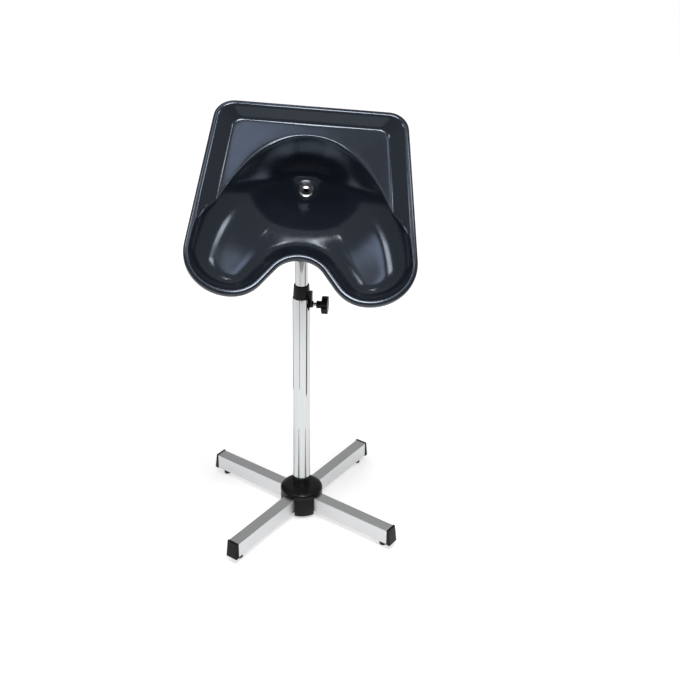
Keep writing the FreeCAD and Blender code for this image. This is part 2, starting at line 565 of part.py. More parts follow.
def plan_centres():
    """Centres of the crest's arcs on the right-hand half, and the notch radius that joins them."""
    lobe_u = CREST_HALF_WIDTH - LOBE_OUTER_RADIUS
    outer = (lobe_u, CREST_LOBE + LOBE_OUTER_RADIUS)
    inner = (lobe_u, CREST_LOBE + LOBE_INNER_RADIUS)
    across_flank = (math.sin(math.radians(NOTCH_SLOPE)), math.cos(math.radians(NOTCH_SLOPE)))
    foot = (inner[0] - LOBE_INNER_RADIUS * across_flank[0], inner[1] - LOBE_INNER_RADIUS * across_flank[1])
    to_flank = across_flank[0] * foot[0] + across_flank[1] * (foot[1] - CREST_NOTCH)
    notch_radius = to_flank / (1 - across_flank[1])
    return outer, inner, (0.0, CREST_NOTCH - notch_radius), notch_radius


def crest_wire(offset, depth, rear=CREST_REAR, corner=REAR_CORNER_RADIUS):
    """Rim outline at an offset outside the crest: tangent lines and arcs, closed."""
    outer, inner, notch, notch_radius = plan_centres()
    outer_radius = LOBE_OUTER_RADIUS + offset
    inner_radius = LOBE_INNER_RADIUS + offset
    arch_radius = notch_radius - offset
    corner_radius = corner + offset
    along = V(-math.sin(math.radians(SIDE_FLARE)), math.cos(math.radians(SIDE_FLARE)), 0)
    inset = LOBE_OUTER_RADIUS - corner
    base = on_arc(outer, inset, SIDE_FLARE)
    run = (rear - corner - base[1]) / along.y
    corner_centre = (base[0] + run * along.x, rear - corner)
    flank = 90 - NOTCH_SLOPE
    rear_mid = (0.0, rear + offset)
    stations = [
        rear_mid,
        on_arc(corner_centre, corner_radius, 90), on_arc(corner_centre, corner_radius, 45 + SIDE_FLARE / 2),
        on_arc(corner_centre, corner_radius, SIDE_FLARE),
        on_arc(outer, outer_radius, SIDE_FLARE), on_arc(outer, outer_radius, SIDE_FLARE / 2 - 45),
        on_arc(outer, outer_radius, -90),
        on_arc(inner, inner_radius, -90 - NOTCH_SLOPE / 2), on_arc(inner, inner_radius, -90 - NOTCH_SLOPE),
        on_arc(notch, arch_radius, flank), on_arc(notch, arch_radius, 90 - NOTCH_SLOPE / 2),
        on_arc(notch, arch_radius, 90)]
    z = depth_plane(depth)
    right = [V(u, v, z) for u, v in stations]
    left = [V(-u, v, z) for u, v in stations]

    def half(p):
        return [Part.makeLine(p[0], p[1]), Part.Arc(p[1], p[2], p[3]).toShape(), Part.makeLine(p[3], p[4]),
                Part.Arc(p[4], p[5], p[6]).toShape(), Part.Arc(p[6], p[7], p[8]).toShape(),
                Part.makeLine(p[8], p[9]), Part.Arc(p[9], p[10], p[11]).toShape()]

    return Part.Wire(half(right) + half(left)[::-1])


def mouth_points(share, grow):
    """Basin's plan between its mouth (0) and the foot of its wall (1), grown outwards.

    Right-hand half, from the rear middle round to the notch.
    """
    inset = BASIN_WALL_RUN * share - grow
    outer, inner, notch, notch_radius = plan_centres()
    points = []
    rear_steps = 4
    for step in range(rear_steps + 1):
        sideways = step / rear_steps
        u = BASIN_REAR_HALF_WIDTH * sideways
        wall_run = BASIN_REAR_RUN + (BASIN_WALL_RUN - BASIN_REAR_RUN) * sideways ** 2
        slope = 2 * BASIN_REAR_CURVE * u
        shift = (wall_run * share - grow) / math.hypot(slope, 1)
        points.append((u - slope * shift, BASIN_REAR - BASIN_REAR_CURVE * u * u - shift))
    outer_radius = LOBE_OUTER_RADIUS - BASIN_INSET - inset
    inner_radius = LOBE_INNER_RADIUS - BASIN_INSET - inset
    arch_radius = notch_radius + BASIN_INSET + inset
    side_u = outer[0] + outer_radius / math.cos(math.radians(SIDE_FLARE))
    side_u -= LOBE_OUTER_RADIUS * math.tan(math.radians(SIDE_FLARE))
    points.append((side_u, outer[1] + LOBE_OUTER_RADIUS))
    lobe_steps = 3
    for step in range(lobe_steps + 1):
        points.append(on_arc(outer, outer_radius, SIDE_FLARE - (90 + SIDE_FLARE) * step / lobe_steps))
    for turned in (0.5, 1.0):
        points.append(on_arc(inner, inner_radius, -90 - NOTCH_SLOPE * turned))
    for turned in (1.0, 0.5, 0.0):
        points.append(on_arc(notch, arch_radius, 90 - NOTCH_SLOPE * turned))
    return points


def floor_depth(u, v):
    """Depth of the basin's floor: lowest at the drain, levelling out far from it."""
    away = max(math.hypot(u, v - DRAIN_V) - DRAIN_PAD_RADIUS, 0.0)
    return BASIN_DEPTH - FLOOR_RISE * (1 - math.exp(-(away / FLOOR_SPREAD) ** FLOOR_POWER))


def basin_path(way, grow):
    """Points on the way from the mouth (0) down the elliptical wall (1) and along the floor to the drain (2).

    One point for each of the mouth's, each with its depth.
    """
    start = math.radians(BASIN_WALL_START)
    turn = start + min(way, 1.0) * (math.pi / 2 - start)
    left = math.cos(turn) / math.cos(start)
    sunk = (math.sin(turn) - math.sin(start)) / (1 - math.sin(start))
    along_floor = max(way - 1.0, 0.0)
    drain_radius = DRAIN_PAD_RADIUS + BOWL_WALL
    points = []
    for wall_u, wall_v in mouth_points(1 - left, grow * left):
        bearing = math.atan2(wall_u, DRAIN_V - wall_v)
        u = wall_u + along_floor * (drain_radius * math.sin(bearing) - wall_u)
        v = wall_v + along_floor * (DRAIN_V - drain_radius * math.cos(bearing) - wall_v)
        points.append((u, v, (floor_depth(u, v) + grow) * sunk))
    return points


def basin_section(depth, grow):
    """Closed smooth section of the basin in the plane at a depth, grown outwards by the wall."""
    halvings = 30
    half = []
    for index in range(len(mouth_points(0, 0))):
        low, high = 0.0, 2.0
        for _ in range(halvings):
            middle = (low + high) / 2
            if basin_path(middle, grow)[index][2] < depth:
                low = middle
            else:
                high = middle
        half.append(basin_path(high, grow)[index][:2])
    loop = half + [(-u, v) for u, v in half[-2:0:-1]]
    curve = Part.BSplineCurve()
    curve.interpolate([V(u, v, depth_plane(depth)) for u, v in loop], PeriodicFlag=True)
    return Part.Wire(curve.toShape())


def basin(grow):
    """Basin as a solid: its cavity, or with the wall added its outside."""
    mouth = basin_section(0, grow)
    mouth.translate(V(0, 0, ABOVE_RIM))
    sections = [basin_section(depth + grow * depth / BASIN_DEPTH, grow) for depth in BASIN_SECTIONS]
    return Part.makeLoft([mouth, *sections], True, False)


def tray(grow):
    """Shallow tray behind the basin: its cavity, or with the wall added its outside."""
    top = crest_wire(grow - TRAY_INSET, -ABOVE_RIM)
    deck_corner = DECK_CORNER_RADIUS + DECK_SIDE_INSET
    floor = crest_wire(grow - DECK_SIDE_INSET, TRAY_DEPTH + grow,
                       DECK_REAR + DECK_SIDE_INSET, deck_corner)
    whole = Part.makeLoft([top, floor], True, True)
    front = TRAY_FRONT - grow
    side = CREST_HALF_WIDTH + LIP_OUT
    rear_half = block(-side, side, front, CREST_REAR + LIP_OUT,
                      depth_plane(2 * TRAY_DEPTH), depth_plane(-2 * ABOVE_RIM))
    return whole.common(rear_half)


def lip():
    """Rolled rim: a flange on the crest and a skirt around it, open below."""
    outside = Part.Face(crest_wire(LIP_OUT, 0)).extrude(V(0, 0, -LIP_DROP))
    top_edges = [e for e in outside.Edges if e.BoundBox.ZMin > depth_plane(TINY)]
    outside = outside.makeFillet(LIP_OUTER_ROUND, top_edges)
    inside = Part.Face(crest_wire(LIP_OUT - LIP_WALL, LIP_WALL)).extrude(V(0, 0, -LIP_DROP))
    return outside.cut(inside)


def mounting_boss():
    """Ribbed boss under the basin floor, square to the rim, that the yoke bolts to."""
    bottom = depth_plane(BOSS_DEPTH)
    root = depth_plane(BOSS_ROOT_DEPTH)
    boss = ring(BOSS_RADIUS, BOSS_RADIUS - BOWL_WALL, bottom, root)
    boss = boss.fuse(cylinder(BOSS_CORE_RADIUS, bottom, root))
    rib = block(BOSS_CORE_RADIUS / 2, BOSS_RADIUS - BOWL_WALL / 2, -BOWL_WALL / 2, BOWL_WALL / 2,
                bottom, root)
    for index in range(BOSS_RIBS):
        turn = FreeCAD.Rotation(UP, 360.0 * index / BOSS_RIBS)
        boss = boss.fuse(placed(rib, FreeCAD.Placement(ORIGIN, turn)))
    return boss.cut(cylinder(BOWL_INSERT_RADIUS, bottom, bottom + BOWL_INSERT_LENGTH))


def bowl():
    """Moulded shell: rim, tray, kidney-shaped basin, boss and drain pad in one wall."""
    pad_bottom = depth_plane(DRAIN_PAD_DEPTH + DRAIN_PAD_THICK)
    pad_floor = depth_plane(DRAIN_PAD_DEPTH)
    pad_top = depth_plane(DRAIN_PAD_DEPTH - 2 * BOWL_WALL)
    drain_pad = cylinder(DRAIN_PAD_RADIUS + BOWL_WALL, pad_bottom, pad_top, 0, DRAIN_V)
    drain_sink = cylinder(DRAIN_PAD_RADIUS, pad_floor, depth_plane(BASIN_DEPTH / 2), 0, DRAIN_V)
    drain_hole = cylinder(DRAIN_BODY_RADIUS + SEAT_FIT, pad_bottom, pad_top, 0, DRAIN_V)
    below_rim = block(-CREST_REAR, CREST_REAR, 2 * CREST_LOBE, 2 * CREST_REAR,
                      depth_plane(2 * BASIN_DEPTH), depth_plane(0))
    outside = basin(BOWL_WALL).fuse(tray(BOWL_WALL)).common(below_rim)
    outside = outside.fuse(lip()).fuse(mounting_boss()).fuse(drain_pad)
    return outside.cut(basin(0)).cut(tray(0)).cut(drain_sink).cut(drain_hole)


def drain_pieces():
    """Drain fitting with its hose spigot, the gasket and the lock nut under the bowl."""
    seat = depth_plane(DRAIN_PAD_DEPTH)
    under = depth_plane(DRAIN_PAD_DEPTH + DRAIN_PAD_THICK)
    flange_top = seat + DRAIN_FLANGE_THICK
    body_end = seat - DRAIN_BODY_LENGTH
    barb = DRAIN_SPIGOT_LENGTH / DRAIN_BARBS
    profile = [(DRAIN_BORE_RADIUS, flange_top), (DRAIN_FLANGE_RADIUS - DRAIN_FLANGE_SLOPE, flange_top),
               (DRAIN_FLANGE_RADIUS, seat + DRAIN_FLANGE_THICK / 2), (DRAIN_FLANGE_RADIUS, seat),
               (DRAIN_BODY_RADIUS, seat), (DRAIN_BODY_RADIUS, body_end), (DRAIN_SPIGOT_RADIUS, body_end)]
    for index in range(DRAIN_BARBS):
        start = body_end - index * barb
        profile.append((DRAIN_SPIGOT_RADIUS, start - DRAIN_BARB_NECK * barb))
        profile.append((DRAIN_SPIGOT_RADIUS + DRAIN_BARB_STEP, start - DRAIN_BARB_NECK * barb))
        profile.append((DRAIN_SPIGOT_RADIUS, start - barb))
    profile.append((DRAIN_BORE_RADIUS, body_end - DRAIN_SPIGOT_LENGTH))
    gasket = ring(GASKET_RADIUS, DRAIN_BODY_RADIUS + SEAT_FIT, under - GASKET_THICK, under)
    nut_top = under - GASKET_THICK
    nut = hexagon(DRAIN_NUT_RADIUS, nut_top - DRAIN_NUT_THICK, nut_top)
    nut = nut.cut(cylinder(DRAIN_BODY_RADIUS, nut_top - DRAIN_NUT_THICK, nut_top))
    pieces = {"drain_fitting": turned_profile(profile), "drain_gasket": gasket, "drain_nut": nut}
    for shape in pieces.values():
        shape.translate(V(0, DRAIN_V, 0))
    return {name: placed(shape, TURNED) for name, shape in pieces.items()}


def all_pieces():
    """Every piece of the basin by its node name."""
    pieces = {"hub_core": hub_core(), "hub_cap": hub_cap()}
    for make, label in ((leg_tube, "leg"), (end_cap, "leg_end_cap"), (foot, "foot")):
        for name, shape in zip(LEG_NAMES, around_the_hub(make())):
            pieces[f"{label}_{name}"] = shape
    pieces["leg_screws"] = Part.makeCompound(around_the_hub(leg_screw()))
    pieces.update(pole_pieces())
    pieces["collar"] = collar()
    pieces["clamp_insert"] = clamp_insert()
    pieces.update(height_clamp())
    pieces["upper_tube"] = upper_tube()
    pieces["glide_bush"] = glide_bush()
    pieces["tilt_head"] = tilt_head()
    pieces["head_pin"] = cross_pin(CROSS_PIN_RADIUS, UPPER_TUBE_RADIUS - UPPER_TUBE_WALL / 2)
    pieces["yoke"] = yoke()
    pieces.update(tilt_pieces())
    pieces.update(swivel_pieces())
    pieces["bowl"] = placed(bowl(), TURNED)
    pieces.update(drain_pieces())
    return pieces


os.makedirs("parts", exist_ok=True)
for node, solid in all_pieces().items():
    solid.exportStep(f"parts/{node}.step")
    print(f"{node:24s} solids {len(solid.Solids)} valid {solid.isValid()} {solid.Volume / 1000:.2f} cm3")
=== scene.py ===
"""Looks of a freestanding shampoo basin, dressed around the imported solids. Metres, +Z up."""

import math

import bmesh
import bpy
from mathutils import Matrix, Vector


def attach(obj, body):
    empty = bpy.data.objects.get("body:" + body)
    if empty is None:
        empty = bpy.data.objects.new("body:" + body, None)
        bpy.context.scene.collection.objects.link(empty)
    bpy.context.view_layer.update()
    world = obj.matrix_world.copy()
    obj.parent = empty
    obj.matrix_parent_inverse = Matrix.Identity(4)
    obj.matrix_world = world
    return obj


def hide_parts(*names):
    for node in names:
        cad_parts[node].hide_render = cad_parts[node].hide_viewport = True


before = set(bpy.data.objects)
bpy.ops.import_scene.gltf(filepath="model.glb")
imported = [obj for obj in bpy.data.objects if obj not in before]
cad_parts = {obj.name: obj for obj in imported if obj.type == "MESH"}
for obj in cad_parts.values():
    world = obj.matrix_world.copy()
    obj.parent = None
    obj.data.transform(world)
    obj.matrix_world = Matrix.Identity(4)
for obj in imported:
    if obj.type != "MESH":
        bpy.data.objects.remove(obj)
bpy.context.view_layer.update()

# Foot pads
# Four round rubber pads under the leg ends, each with a stem pressed into the leg.
# Moulded black rubber: dull, slightly dusty, with a fine grain.
MM = 0.001
corners = ("rear_right", "rear_left", "front_left", "front_right")


def linear(hex_colour):
    """sRGB hex to the linear colour that a shader takes."""
    channels = [int(hex_colour[i:i + 2], 16) / 255 for i in (1, 3, 5)]
    return [c / 12.92 if c <= 0.04045 else ((c + 0.055) / 1.055) ** 2.4 for c in channels] + [1.0]


def add_node(tree, kind, settings, inputs):
    """One node; each input is a value, or the socket that feeds it."""
    node = tree.nodes.new(kind)
    for name, value in settings.items():
        setattr(node, name, value)
    for name, value in inputs.items():
        if isinstance(value, bpy.types.NodeSocket):
            tree.links.new(value, node.inputs[name])
        else:
            node.inputs[name].default_value = value
    return node


def start_material(name, metallic=0.0, ior=1.5):
    """New material: itself, its node tree, its shader, and the Object coordinates."""
    material = bpy.data.materials.new(name)
    material.use_nodes = True
    tree = material.node_tree
    shader = tree.nodes["Principled BSDF"]
    shader.inputs["Metallic"].default_value = metallic
    shader.inputs["IOR"].default_value = ior
    coords = add_node(tree, "ShaderNodeTexCoord", {}, {}).outputs["Object"]
    return material, tree, shader, coords


def follow(tree, shader, pattern, colours, roughness):
    """Colour and roughness that each go from a first value to a second as a pattern goes from 0 to 1.

    A Mix node's sockets go by number: 0 is its factor, 2 and 3 are numbers, 6 and 7 are colours,
    and a mix of numbers comes out at 0 and one of colours at 2.
    """
    colour = add_node(tree, "ShaderNodeMix", {"data_type": "RGBA"},
                      {0: pattern, 6: linear(colours[0]), 7: linear(colours[1])})
    tree.links.new(colour.outputs[2], shader.inputs["Base Color"])
    gloss = add_node(tree, "ShaderNodeMapRange", {},
                     {"Value": pattern, "To Min": roughness[0], "To Max": roughness[1]})
    tree.links.new(gloss.outputs[0], shader.inputs["Roughness"])


def mottle(tree, shader, coords, size_mm, colours, roughness):
    """Slow change of colour and gloss over patches of a size."""
    noise = add_node(tree, "ShaderNodeTexNoise", {},
                     {"Vector": coords, "Scale": 1 / (size_mm * MM), "Detail": 3.0})
    follow(tree, shader, noise.outputs[0], colours, roughness)


def grain(tree, shader, coords, size_mm, height_mm, detail=2.0):
    """Bumps of a size and height, such as the waves of a moulding or the grain of a casting.

    Real grain is finer than the sizes given here, which are coarse enough to show up close.
    """
    noise = add_node(tree, "ShaderNodeTexNoise", {},
                     {"Vector": coords, "Scale": 1 / (size_mm * MM), "Detail": detail})
    bump = add_node(tree, "ShaderNodeBump", {},
                    {"Height": noise.outputs[0], "Distance": height_mm * MM, "Strength": 1.0})
    tree.links.new(bump.outputs[0], shader.inputs["Normal"])


def dress(piece, material, body, node):
    """Gives a piece its material, and has it ride on a body in place of a CAD node."""
    piece.data.materials.append(material)
    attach(piece, body)
    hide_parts(node)


def softened(node, material, body, edge_mm):
    """Copy of a CAD node with merged faces, softly broken edges and smooth curves, in its place."""
    same_point = 0.002 * MM
    same_plane = math.radians(0.5)
    smooth_below = math.radians(32)
    bevel_above = math.radians(40)
    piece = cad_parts[node].copy()
    piece.data = piece.data.copy()
    piece.name = f"{node}_skin"
    bpy.context.scene.collection.objects.link(piece)
    for key in list(piece.keys()):
        del piece[key]
    piece.parent = None
    piece.matrix_world = Matrix.Identity(4)
    shape = bmesh.new()
    shape.from_mesh(piece.data)
    bmesh.ops.remove_doubles(shape, verts=shape.verts, dist=same_point)
    bmesh.ops.dissolve_limit(shape, angle_limit=same_plane, verts=shape.verts, edges=shape.edges)
    shape.to_mesh(piece.data)
    shape.free()
    piece.data.shade_smooth()
    piece.data.set_sharp_from_angle(angle=smooth_below)
    bevel = piece.modifiers.new("broken_edges", "BEVEL")
    bevel.width = edge_mm * MM
    bevel.segments = 2
    bevel.limit_method = "ANGLE"
    bevel.angle_limit = bevel_above
    bevel.harden_normals = True
    piece.data.materials.clear()
    dress(piece, material, body, node)


rubber, tree, shader, coords = start_material("moulded_black_rubber")
mottle(tree, shader, coords, size_mm=6.0, colours=("#0b0b0b", "#171717"), roughness=(0.6, 0.8))
grain(tree, shader, coords, size_mm=0.6, height_mm=0.02)
for corner in corners:
    softened(f"foot_{corner}", rubber, "base", edge_mm=0.3)

# Hub core
# A black moulded nylon hub under the cap, with a socket for the pole and tongues for the legs.
# Its round outer wall stands between the legs, flush with the cap. Satin black, from the mould.
quarter_turn = math.pi / 2
stand_turn = 4.7
first_leg = math.radians(45 + stand_turn)
leg_top, leg_side = 52.0, 14.2
wall_radius, wall_bottom, wall_edge, gap_below_cap = 49.5, 6.0, 0.8, 0.2
wall_height = leg_top - gap_below_cap - wall_bottom


def to_piece(name, shape, material, body, node, smooth_below=35):
    """Finished mesh object in place of a CAD node, smooth where its faces meet below an angle in degrees."""
    mesh = bpy.data.meshes.new(name)
    shape.to_mesh(mesh)
    shape.free()
    mesh.shade_smooth()
    mesh.set_sharp_from_angle(angle=math.radians(smooth_below))
    piece = bpy.data.objects.new(name, mesh)
    bpy.context.scene.collection.objects.link(piece)
    dress(piece, material, body, node)
    return piece


def sharp_edges(shape, above):
    """Edges whose faces meet at more than an angle in degrees."""
    return [edge for edge in shape.edges if edge.calc_face_angle(0) > math.radians(above)]


def round_over(shape, edges, width_mm, segments=2):
    """Bevels edges to a round of a width."""
    bmesh.ops.bevel(shape, geom=edges, offset=width_mm * MM, offset_type="OFFSET", segments=segments,
                    profile=0.5, affect="EDGES", clamp_overlap=True, material=-1)


black_plastic, tree, shader, coords = start_material("moulded_black_nylon")
shader.inputs["Specular IOR Level"].default_value = 0.2
mottle(tree, shader, coords, size_mm=15.0, colours=("#040404", "#080808"), roughness=(0.34, 0.46))
grain(tree, shader, coords, size_mm=0.8, height_mm=0.015)
softened("hub_core", black_plastic, "base", edge_mm=0.5)

hub_wall = bmesh.new()
wall_middle = Matrix.Translation((0, 0, (wall_bottom + wall_height / 2) * MM))
bmesh.ops.create_cone(hub_wall, cap_ends=True, segments=160, radius1=wall_radius * MM,
                      radius2=wall_radius * MM, depth=wall_height * MM, matrix=wall_middle)
for quarter in range(2):
    angle = first_leg + quarter * quarter_turn
    outward = Vector((math.cos(angle), math.sin(angle), 0))
    cut = bmesh.ops.bisect_plane(hub_wall, geom=[*hub_wall.verts, *hub_wall.edges, *hub_wall.faces],
                                 plane_co=outward * leg_side * MM, plane_no=outward, clear_inner=True)
    open_edges = [part for part in cut["geom_cut"] if isinstance(part, bmesh.types.BMEdge)]
    bmesh.ops.contextual_create(hub_wall, geom=open_edges)
bmesh.ops.recalc_face_normals(hub_wall, faces=hub_wall.faces)
round_over(hub_wall, sharp_edges(hub_wall, above=30), wall_edge)
one_sector = [*hub_wall.verts, *hub_wall.edges, *hub_wall.faces]
for quarter in range(1, 4):
    copied = bmesh.ops.duplicate(hub_wall, geom=one_sector)["geom"]
    bmesh.ops.rotate(hub_wall, cent=(0, 0, 0), matrix=Matrix.Rotation(quarter * quarter_turn, 3, "Z"),
                     verts=[part for part in copied if isinstance(part, bmesh.types.BMVert)])
to_piece("hub_core_wall", hub_wall, black_plastic, "base", "hub_core")

# Legs
# Four extruded aluminium box sections, each over a tongue of the hub and held by one screw from below.
# Brushed lengthwise and clear anodised: pale, with a soft streaky sheen. Real brushing is finer than the
# streaks drawn here, which are coarse enough to show up close.
streak_length, streak_width = 60 * MM, 0.5 * MM
for place, corner in enumerate(corners):
    brushed, tree, shader, coords = start_material(f"brushed_aluminium_{corner}", metallic=1.0)
    along = add_node(tree, "ShaderNodeMapping", {},
                     {"Vector": coords, "Rotation": (0, 0, -first_leg - place * quarter_turn)})
    lines = add_node(tree, "ShaderNodeMapping", {},
                     {"Vector": along.outputs[0],
                      "Scale": (1 / streak_length, 1 / streak_width, 1 / streak_width)})
    streaks = add_node(tree, "ShaderNodeTexNoise", {},
                       {"Vector": lines.outputs[0], "Scale": 1.0, "Detail": 3.0})
    follow(tree, shader, streaks.outputs[0], colours=("#b9babb", "#e6e7e8"), roughness=(0.26, 0.4))
    softened(f"leg_{corner}", brushed, "base", edge_mm=0.4)

# Leg end caps and fasteners
# Black moulded wedge caps are pushed into the leg ends. The screws, bolts, washers, pins and stud
# of the whole stand are zinc-plated steel, dull silver with slight patches.
for corner in corners:
    softened(f"leg_end_cap_{corner}", black_plastic, "base", edge_mm=0.6)
zinc, tree, shader, coords = start_material("zinc_plated_steel", metallic=1.0)
mottle(tree, shader, coords, size_mm=3.0, colours=("#8f9294", "#b4b7ba"), roughness=(0.28, 0.45))
for node, body in (("leg_screws", "base"), ("pole_bolt", "base"), ("pole_washer", "base"),
                   ("clamp_stud", "height_knob"), ("head_pin", "mast"), ("pivot_bolt", "yoke"),
                   ("swivel_bolt", "bowl"), ("swivel_washer", "bowl")):
    softened(node, zinc, body, edge_mm=0.25)

# Lower tube
# Drawn steel tube, polished and chromed, standing in the hub's socket on a moulded plug.
# Mirror chrome with faint drawing marks along the tube.
tube_bottom, tube_top = 11.0, 562.0
tube_outer, tube_inner = 20.0, 18.5
mark_length, mark_width = 120 * MM, 2 * MM


def ring(inner, outer, bottom, top):
    """Outline of a plain ring, as (radius, height) points."""
    return [(inner, bottom), (outer, bottom), (outer, top), (inner, top)]


def lathe(outline, steps, edge_mm=0.0):
    """Ring turned about Z from a closed outline of (radius, height) points, its sharp edges bevelled."""
    shape = bmesh.new()
    verts = [shape.verts.new((radius * MM, 0, height * MM)) for radius, height in outline]
    edges = [shape.edges.new(ends) for ends in zip(verts, verts[1:] + verts[:1])]
    bmesh.ops.spin(shape, geom=verts + edges, cent=(0, 0, 0), axis=(0, 0, 1), angle=2 * math.pi,
                   steps=steps, use_merge=True)
    bmesh.ops.recalc_face_normals(shape, faces=shape.faces)
    if edge_mm > 0:
        round_over(shape, sharp_edges(shape, above=20), edge_mm)
    return shape


chrome, tree, shader, coords = start_material("polished_chrome", metallic=1.0)
along = add_node(tree, "ShaderNodeMapping", {},
                 {"Vector": coords, "Scale": (1 / mark_width, 1 / mark_width, 1 / mark_length)})
marks = add_node(tree, "ShaderNodeTexNoise", {}, {"Vector": along.outputs[0], "Scale": 1.0, "Detail": 2.0})
follow(tree, shader, marks.outputs[0], colours=("#c2c4c6", "#d2d4d5"), roughness=(0.04, 0.1))
lower_tube = lathe(ring(tube_inner, tube_outer, tube_bottom, tube_top), steps=96, edge_mm=0.3)
to_piece("lower_tube_chrome", lower_tube, chrome, "base", "lower_tube")
softened("lower_tube_plug", black_plastic, "base", edge_mm=0.3)

# Hub cap
# A domed black cover that slides down the tube onto the hub and the legs, hollowed a little below.
# Injection moulded, satin to glossy on the dome.
cap_bore, cap_radius, cap_neck = 20.15, 50.0, 25.0
hollow_inner, hollow_outer, hollow_depth = 33.0, 47.0, 3.0
brim, dome_rise, dome_steps, dome_fullness = 5.0, 10.0, 10, 0.8
cap_plastic, tree, shader, coords = start_material("moulded_black_abs")
shader.inputs["Specular IOR Level"].default_value = 0.25
mottle(tree, shader, coords, size_mm=25.0, colours=("#040404", "#090909"), roughness=(0.24, 0.34))
cap_outline = [(cap_bore, leg_top + brim + dome_rise), (cap_bore, leg_top),
               (hollow_inner, leg_top), (hollow_inner, leg_top + hollow_depth),
               (hollow_outer, leg_top + hollow_depth), (hollow_outer, leg_top),
               (cap_radius, leg_top), (cap_radius, leg_top + brim)]
for step in range(1, dome_steps + 1):
    angle = quarter_turn * step / dome_steps
    cap_outline.append((cap_neck + (cap_radius - cap_neck) * math.cos(angle) ** dome_fullness,
                        leg_top + brim + dome_rise * math.sin(angle)))
to_piece("hub_cap_dome", lathe(cap_outline, steps=96), cap_plastic, "base", "hub_cap", smooth_below=40)

# Collar and height clamp
# A black moulded collar plugs the tube's top, guides the upper tube and carries the clamp's lug,
# with a brass thread insert. A star knob on a zinc-plated stud squeezes the upper tube.
clamp_bearing, clamp_height, lug_face = math.radians(-12.0), 546.0, 33.5
along_x = Matrix.Rotation(quarter_turn, 4, "Y")


def star_knob(hub_radius, hub_length, head_radius, head_length, scallop, edge):
    """Hand knob standing on the XY plane: a tapered hub, and a head with round scallops."""
    lobes, points_per_lobe = 7, 18
    hub_taper, scallop_set_out = 0.92, 0.45
    pitch = 2 * math.pi / lobes
    scallop_centre = head_radius + scallop_set_out * scallop
    shape = bmesh.new()
    bmesh.ops.create_circle(shape, cap_ends=True, segments=lobes * points_per_lobe, radius=head_radius * MM)
    for vert in shape.verts:
        bearing = math.atan2(vert.co.y, vert.co.x)
        off_scallop = (bearing + pitch / 2) % pitch - pitch / 2
        side = scallop_centre * math.sin(off_scallop)
        if abs(side) < scallop:
            bottom = scallop_centre * math.cos(off_scallop) - math.sqrt(scallop ** 2 - side ** 2)
            vert.co *= min(bottom, head_radius) / head_radius
    bmesh.ops.translate(shape, vec=(0, 0, hub_length * MM), verts=shape.verts)
    raised = bmesh.ops.extrude_face_region(shape, geom=list(shape.faces))["geom"]
    bmesh.ops.translate(shape, vec=(0, 0, head_length * MM),
                        verts=[part for part in raised if isinstance(part, bmesh.types.BMVert)])
    bmesh.ops.recalc_face_normals(shape, faces=shape.faces)
    level = 0.0001 * MM
    rims = [rim for rim in sharp_edges(shape, above=60) if abs(rim.verts[0].co.z - rim.verts[1].co.z) < level]
    round_over(shape, rims, edge, segments=4)
    hub_height = (hub_length + edge) * MM
    bmesh.ops.create_cone(shape, cap_ends=True, segments=48, radius1=hub_radius * MM,
                          radius2=hub_radius * hub_taper * MM, depth=hub_height,
                          matrix=Matrix.Translation((0, 0, hub_height / 2)))
    return shape


softened("collar", black_plastic, "base", edge_mm=0.4)
# Turned brass: a warm yellow with a soft shine.
brass, tree, shader, coords = start_material("turned_brass", metallic=1.0)
mottle(tree, shader, coords, size_mm=2.0, colours=("#b08d4a", "#c9a864"), roughness=(0.25, 0.38))
softened("clamp_insert", brass, "base", edge_mm=0.2)
softened("bowl_insert", brass, "bowl", edge_mm=0.2)
knob = star_knob(hub_radius=8.6, hub_length=11.5, head_radius=20.0, head_length=14.0, scallop=5.0, edge=3.0)
on_lug = Matrix.Translation((lug_face * MM, 0, clamp_height * MM)) @ along_x
bmesh.ops.transform(knob, matrix=Matrix.Rotation(clamp_bearing, 4, "Z") @ on_lug, verts=knob.verts)
to_piece("clamp_knob_star", knob, black_plastic, "height_knob", "clamp_knob", smooth_below=40)

# Upper tube and its glide
# A thinner chromed tube slides and turns in the collar, in the same chrome as the lower tube.
# A white acetal bush guides its foot inside the lower tube.
upper_bottom, upper_top = 158.0, 653.0
upper_outer, upper_inner = 14.0, 12.8
upper_tube = lathe(ring(upper_inner, upper_outer, upper_bottom, upper_top), steps=96, edge_mm=0.25)
to_piece("upper_tube_chrome", upper_tube, chrome, "mast", "upper_tube")
# Moulded acetal: a milky white with a waxy sheen.
acetal, tree, shader, coords = start_material("white_acetal")
mottle(tree, shader, coords, size_mm=8.0, colours=("#d8d6cf", "#e6e4de"), roughness=(0.4, 0.5))
softened("glide_bush", acetal, "glide", edge_mm=0.3)

# Tilt head, yoke and tilt knob
# A cast zinc head is pinned in the upper tube, and a folded steel yoke, powder-coated black, tips on
# its pivot bolt. A smaller star knob grips the tilt; acetal washers and a disc take the friction.
pivot_height, rest_tilt, knob_seat = 683.0, math.radians(38.0), 12.0
# Cast zinc: a dull grey metal, slightly rough from the mould.
cast_zinc, tree, shader, coords = start_material("cast_zinc", metallic=1.0)
mottle(tree, shader, coords, size_mm=10.0, colours=("#7c7e80", "#96989a"), roughness=(0.42, 0.58))
grain(tree, shader, coords, size_mm=0.9, height_mm=0.03)
softened("tilt_head", cast_zinc, "mast", edge_mm=0.5)
